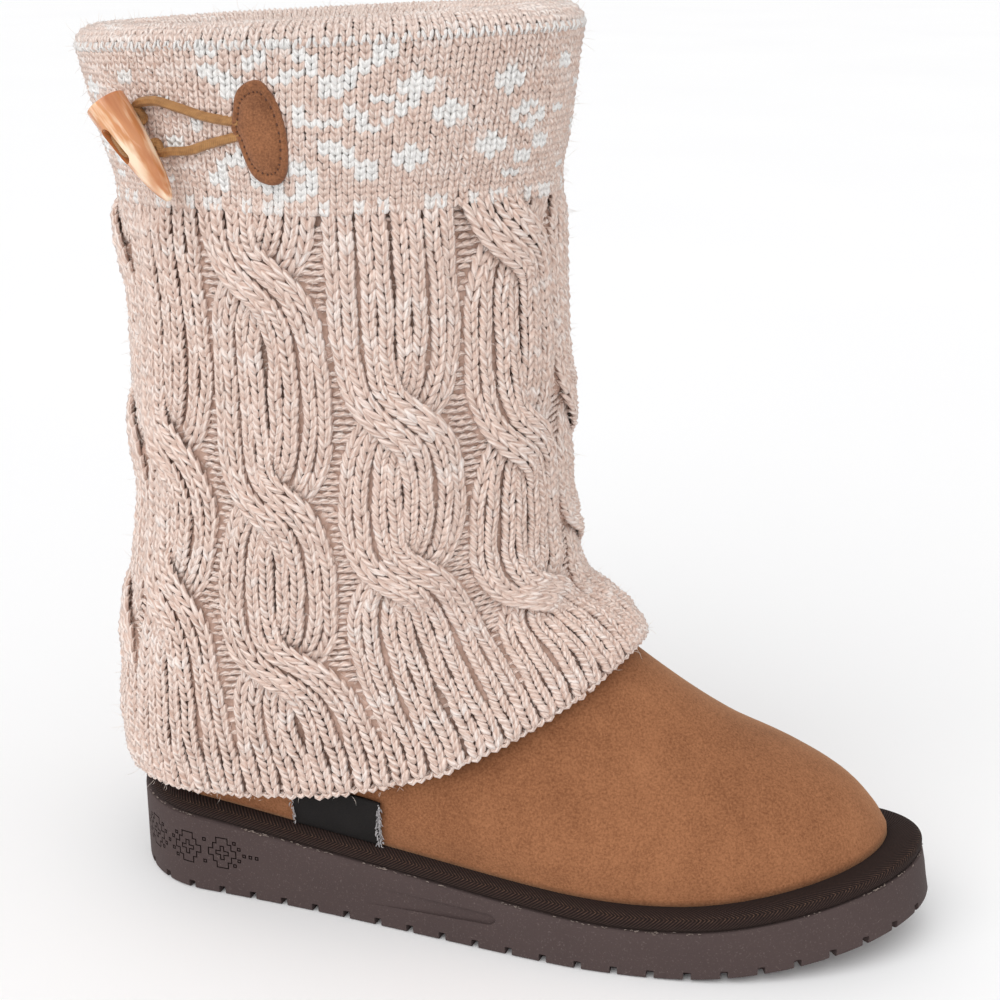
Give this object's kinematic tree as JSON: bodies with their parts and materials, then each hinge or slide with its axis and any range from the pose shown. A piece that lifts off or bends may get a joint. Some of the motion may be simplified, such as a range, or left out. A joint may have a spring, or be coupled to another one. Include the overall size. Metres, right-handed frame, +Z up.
{
  "type": "snow boot",
  "caption": "Right mid-calf snow boot: suede foot, cable-knit sleeve over a lined leg with a toggle at the collar, taped platform and a moulded sole with toe spring.",
  "frame": {"origin": "on the ground, under the middle of the sole's length, on the sole's flat bottom face", "axes": "+X to the toe, +Y to the inner side of the foot, -Y to the outer side with the toggle, +Z up"},
  "size_m": [0.275, 0.1261, 0.288],
  "materials": {
    "sole_foam": "matte moulded foam rubber",
    "twill_tape": "woven herringbone twill",
    "fleece": "soft pile",
    "suede": "brushed nap",
    "knit": "marled wool-like knit",
    "elastic": "round braided elastic",
    "horn": "polished, with pale streaks",
    "woven_tag": "blank woven tag"
  },
  "bodies": {
    "root": {"outsole": "sole_foam", "platform": "twill_tape", "insole": "fleece", "upper": "suede", "shaft": "knit", "patch": "suede", "loop": "elastic", "toggle": "horn"}
  },
  "joints": []
}
